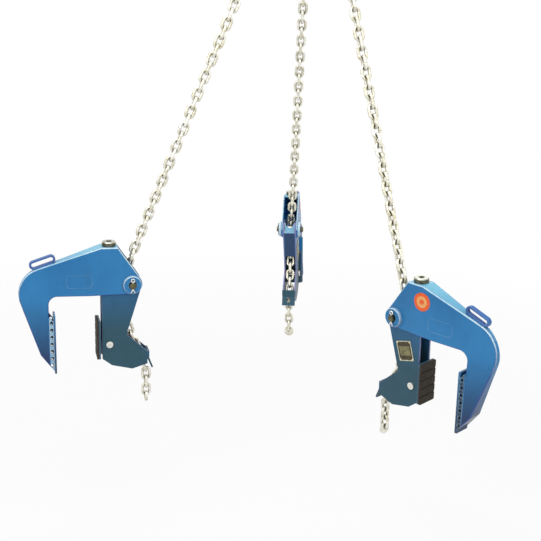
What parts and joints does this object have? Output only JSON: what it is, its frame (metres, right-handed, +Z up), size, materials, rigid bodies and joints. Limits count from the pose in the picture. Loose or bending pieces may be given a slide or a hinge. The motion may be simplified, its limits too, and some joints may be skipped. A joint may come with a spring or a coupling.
{
  "type": "three-leg pipe and manhole ring lifting grab",
  "caption": "Chain sling with hook-shaped clamps that grip the wall of a concrete pipe or ring, each with a pivoting inner arm, swivel shoe and slotted chain bracket.",
  "frame": {"origin": "where the crane hook bears, on the inside of the master link's upper bow", "axes": "+Z up along the hanging sling; +Y towards the far clamp in the picture; +X to the picture's right"},
  "size_m": [1.1711, 1.1989, 1.6246],
  "materials": {
    "zinc_chain": "bright zinc",
    "forged_steel": "satin zinc",
    "zinc_fitting": "bright zinc",
    "pin_steel": "oiled",
    "housing_paint": "satin blue enamel",
    "arm_paint": "satin dark blue enamel",
    "web_paint": "satin dark blue enamel",
    "friction_pad": "matt"
  },
  "bodies": {
    "master": {"master_link": "forged_steel"},
    "far_leg": {"far_coupling_link": "zinc_chain", "far_leg_chain": "zinc_chain"},
    "far_housing": {"far_housing_cheeks": "housing_paint", "far_back_strip": "housing_paint", "far_carry_handle": "housing_paint", "far_crest_plug": "zinc_fitting", "far_jaw_channel": "housing_paint", "far_pivot_bosses": "housing_paint", "far_pivot_pin": "pin_steel", "far_split_pins": "zinc_fitting"},
    "far_arm": {"far_arm_cheeks": "arm_paint", "far_arm_web": "web_paint", "far_pivot_bush": "zinc_fitting", "far_chain_bracket": "arm_paint", "far_arm_chain": "zinc_chain", "far_shoe_pin": "zinc_fitting"},
    "far_shoe": {"far_shoe": "arm_paint", "far_shoe_pad": "friction_pad"},
    "far_tail": {"far_tail_chain": "zinc_chain"},
    "left_leg": {"left_coupling_link": "zinc_chain", "left_leg_chain": "zinc_chain"},
    "left_housing": {"left_housing_cheeks": "housing_paint", "left_back_strip": "housing_paint", "left_carry_handle": "housing_paint", "left_crest_plug": "zinc_fitting", "left_jaw_channel": "housing_paint", "left_pivot_bosses": "housing_paint", "left_pivot_pin": "pin_steel", "left_split_pins": "zinc_fitting"},
    "left_arm": {"left_arm_cheeks": "arm_paint", "left_arm_web": "web_paint", "left_pivot_bush": "zinc_fitting", "left_chain_bracket": "arm_paint", "left_arm_chain": "zinc_chain", "left_shoe_pin": "zinc_fitting"},
    "left_shoe": {"left_shoe": "arm_paint", "left_shoe_pad": "friction_pad"},
    "left_tail": {"left_tail_chain": "zinc_chain"},
    "right_leg": {"right_coupling_link": "zinc_chain", "right_leg_chain": "zinc_chain"},
    "right_housing": {"right_housing_cheeks": "housing_paint", "right_back_strip": "housing_paint", "right_carry_handle": "housing_paint", "right_crest_plug": "zinc_fitting", "right_jaw_channel": "housing_paint", "right_pivot_bosses": "housing_paint", "right_pivot_pin": "pin_steel", "right_split_pins": "zinc_fitting"},
    "right_arm": {"right_arm_cheeks": "arm_paint", "right_arm_web": "web_paint", "right_pivot_bush": "zinc_fitting", "right_chain_bracket": "arm_paint", "right_arm_chain": "zinc_chain", "right_shoe_pin": "zinc_fitting"},
    "right_shoe": {"right_shoe": "arm_paint", "right_shoe_pad": "friction_pad"},
    "right_tail": {"right_tail_chain": "zinc_chain"}
  },
  "joints": [
    {"name": "far_leg_swing", "type": "hinge", "parent": "master", "child": "far_leg", "pos_m": [-0.00178, 0, -0.15397], "axis": [1, 0.0019, 0], "range_deg": [0, 12]},
    {"name": "far_arm_hang", "type": "hinge", "parent": "far_leg", "child": "far_arm", "pos_m": [-0.00261, 0.44027, -1.232], "axis": [-0.9934, 0.1043, -0.0489], "range_deg": [-6, 8]},
    {"name": "far_clamp", "type": "hinge", "parent": "far_arm", "child": "far_housing", "pos_m": [-0.00534, 0.41341, -1.234], "axis": [0.9934, -0.1043, 0.0489], "range_deg": [-20, 8]},
    {"name": "far_shoe_tilt", "type": "hinge", "parent": "far_arm", "child": "far_shoe", "pos_m": [0.00894, 0.47224, -1.3988], "axis": [0.9934, -0.1043, 0.0489], "range_deg": [-3.5, 3.5]},
    {"name": "far_tail_swing", "type": "hinge", "parent": "far_arm", "child": "far_tail", "pos_m": [0.00302, 0.37234, -1.49161], "axis": [0.9934, -0.1043, 0.0489], "range_deg": [-20, 20]},
    {"name": "left_leg_swing", "type": "hinge", "parent": "master", "child": "left_leg", "pos_m": [-0.02115, 0, -0.14941], "axis": [-0.298, 0.9546, 0], "range_deg": [0, 12]},
    {"name": "left_arm_hang", "type": "hinge", "parent": "left_leg", "child": "left_arm", "pos_m": [-0.44836, -0.13334, -1.258], "axis": [0.3063, -0.9519, 0], "range_deg": [-6, 8]},
    {"name": "left_clamp", "type": "hinge", "parent": "left_arm", "child": "left_housing", "pos_m": [-0.42266, -0.12508, -1.26], "axis": [-0.3063, 0.9519, 0], "range_deg": [-20, 8]},
    {"name": "left_shoe_tilt", "type": "hinge", "parent": "left_arm", "child": "left_shoe", "pos_m": [-0.47977, -0.14345, -1.425], "axis": [-0.3063, 0.9519, 0], "range_deg": [-3.5, 3.5]},
    {"name": "left_tail_swing", "type": "hinge", "parent": "left_arm", "child": "left_tail", "pos_m": [-0.3846, -0.11283, -1.51792], "axis": [-0.3063, 0.9519, 0], "range_deg": [-20, 20]},
    {"name": "right_leg_swing", "type": "hinge", "parent": "master", "child": "right_leg", "pos_m": [0.02394, 0, -0.14803], "axis": [-0.751, -0.6603, 0], "range_deg": [0, 12]},
    {"name": "right_arm_hang", "type": "hinge", "parent": "right_leg", "child": "right_arm", "pos_m": [0.29136, -0.30412, -1.258], "axis": [0.7356, 0.6747, 0.061], "range_deg": [-6, 8]},
    {"name": "right_clamp", "type": "hinge", "parent": "right_arm", "child": "right_housing", "pos_m": [0.2732, -0.28414, -1.26], "axis": [-0.7356, -0.6747, -0.061], "range_deg": [-20, 8]},
    {"name": "right_shoe_tilt", "type": "hinge", "parent": "right_arm", "child": "right_shoe", "pos_m": [0.32118, -0.32155, -1.42469], "axis": [-0.7356, -0.6747, -0.061], "range_deg": [-3.5, 3.5]},
    {"name": "right_tail_swing", "type": "hinge", "parent": "right_arm", "child": "right_tail", "pos_m": [0.25779, -0.24404, -1.51744], "axis": [-0.7356, -0.6747, -0.061], "range_deg": [-20, 20]}
  ]
}
